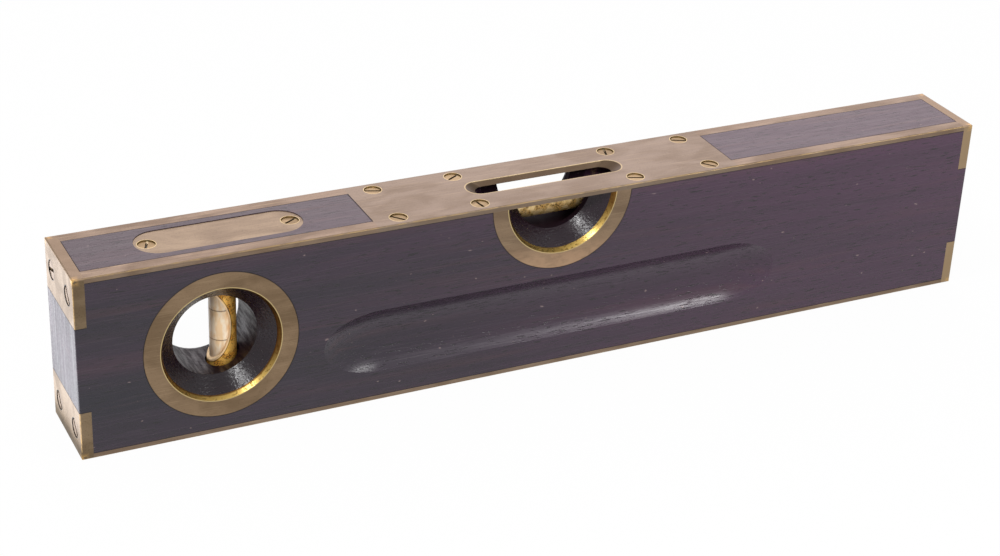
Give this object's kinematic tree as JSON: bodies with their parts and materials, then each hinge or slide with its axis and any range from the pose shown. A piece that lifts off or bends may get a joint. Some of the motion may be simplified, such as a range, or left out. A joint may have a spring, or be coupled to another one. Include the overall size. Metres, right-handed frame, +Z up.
{
  "type": "plumb and level",
  "caption": "Brass bound hardwood plumb and level: bubble vial under a slotted top plate, plumb vial in a round sight hole, and a finger groove along each side.",
  "frame": {"origin": "middle of the base, on the face that rests on the work", "axes": "+X along the level away from the plumb end, +Y from the front side to the back side, +Z up"},
  "size_m": [0.3048, 0.0288, 0.0587],
  "materials": {
    "rosewood": "oiled and hand polished",
    "plate_brass": "aged, satin",
    "strip_brass": "aged, satin",
    "tip_brass": "aged, satin",
    "ring_brass": "aged face, bright bevel",
    "screw_brass": "aged, slotted",
    "tube_brass": "stained with age",
    "vial_glass": "clear drawn tube",
    "vial_spirit": "clear, faint straw tint",
    "air_bubble": "clear",
    "adjusting_steel": "blued with age",
    "cork": "cork"
  },
  "bodies": {
    "stock_body": {"stock": "rosewood", "top_plate": "plate_brass", "top_plate_screws": "screw_brass", "plumb_cover": "plate_brass", "plumb_cover_screws": "screw_brass", "front_top_left_strip": "strip_brass", "front_top_right_strip": "strip_brass", "back_top_left_strip": "strip_brass", "back_top_right_strip": "strip_brass", "front_bottom_strip": "strip_brass", "back_bottom_strip": "strip_brass", "left_top_tip": "tip_brass", "left_bottom_tip": "tip_brass", "right_top_tip": "tip_brass", "right_bottom_tip": "tip_brass", "left_tip_screws": "screw_brass", "right_tip_screws": "screw_brass", "plumb_ring_front": "ring_brass", "plumb_ring_back": "ring_brass", "level_ring_front": "ring_brass", "level_ring_back": "ring_brass", "level_pivot_bracket": "tube_brass", "level_pivot_pin": "adjusting_steel", "level_bracket_screw": "screw_brass", "level_adjusting_spring": "adjusting_steel", "plumb_seat_plate": "tube_brass"},
    "level_vial": {"level_vial_case": "tube_brass", "level_pivot_cap": "tube_brass", "level_lug_cap": "tube_brass", "level_vial_glass": "vial_glass", "level_spirit": "vial_spirit"},
    "level_bubble": {"level_bubble": "air_bubble"},
    "level_washer": {"level_adjusting_washer": "screw_brass"},
    "level_screw": {"level_adjusting_screw": "adjusting_steel"},
    "plumb_vial": {"plumb_vial_case": "tube_brass", "plumb_rocker_flange": "tube_brass", "plumb_foot_cap": "tube_brass", "plumb_top_plug": "cork", "plumb_vial_glass": "vial_glass", "plumb_spirit": "vial_spirit"},
    "plumb_bubble": {"plumb_bubble": "air_bubble"},
    "plumb_washer_left": {"plumb_left_washer": "screw_brass"},
    "plumb_screw_left": {"plumb_left_screw": "adjusting_steel"},
    "plumb_washer_right": {"plumb_right_washer": "screw_brass"},
    "plumb_screw_right": {"plumb_right_screw": "adjusting_steel"}
  },
  "joints": [
    {"name": "level_vial_tilt", "type": "hinge", "parent": "stock_body", "child": "level_vial", "pos_m": [-0.0326, 0, 0.051], "axis": [0, -1, 0], "range_deg": [-0.6, 0.6], "deforming": ["level_adjusting_spring"]},
    {"name": "level_washer_lift", "type": "slide", "parent": "stock_body", "child": "level_washer", "axis": [0, 0, 1], "range_m": [-0.00073, 0.00073]},
    {"name": "level_screw_turn", "type": "hinge", "parent": "level_washer", "child": "level_screw", "pos_m": [0.0357, 0, 0.0522], "axis": [0, 0, 1], "range_deg": [-228.4, 228.4]},
    {"name": "level_bubble_float", "type": "slide", "parent": "level_vial", "child": "level_bubble", "axis": [1, 0, 0], "range_m": [-0.018, 0.018], "stiffness_N_per_m": 0.5, "deforming": ["level_spirit"]},
    {"name": "plumb_vial_tilt", "type": "hinge", "parent": "stock_body", "child": "plumb_vial", "pos_m": [-0.1048, 0, 0.051], "axis": [0, -1, 0], "range_deg": [-0.6, 0.6]},
    {"name": "plumb_left_washer_lift", "type": "slide", "parent": "stock_body", "child": "plumb_washer_left", "axis": [0, 0, 1], "range_m": [-0.000108, 0.000108]},
    {"name": "plumb_left_screw_turn", "type": "hinge", "parent": "plumb_washer_left", "child": "plumb_screw_left", "pos_m": [-0.1148, 0, 0.0529], "axis": [0, 0, 1], "range_deg": [-33.4, 33.4]},
    {"name": "plumb_right_washer_lift", "type": "slide", "parent": "stock_body", "child": "plumb_washer_right", "axis": [0, 0, 1], "range_m": [-0.000108, 0.000108]},
    {"name": "plumb_right_screw_turn", "type": "hinge", "parent": "plumb_washer_right", "child": "plumb_screw_right", "pos_m": [-0.0948, 0, 0.0529], "axis": [0, 0, 1], "range_deg": [-33.4, 33.4]},
    {"name": "plumb_bubble_float", "type": "slide", "parent": "plumb_vial", "child": "plumb_bubble", "axis": [0, 0, 1], "range_m": [-0.03, 0], "stiffness_N_per_m": 0.2, "springref_m": 0.05, "deforming": ["plumb_spirit"]}
  ],
  "couplings": [
    {"joint": "level_washer_lift", "follows": "level_vial_tilt", "m_per_rad": 0.0683},
    {"joint": "level_screw_turn", "follows": "level_vial_tilt", "ratio": 373.17},
    {"joint": "plumb_left_washer_lift", "follows": "plumb_vial_tilt", "m_per_rad": -0.01},
    {"joint": "plumb_left_screw_turn", "follows": "plumb_vial_tilt", "ratio": -54.636},
    {"joint": "plumb_right_washer_lift", "follows": "plumb_vial_tilt", "m_per_rad": 0.01},
    {"joint": "plumb_right_screw_turn", "follows": "plumb_vial_tilt", "ratio": 54.636}
  ]
}
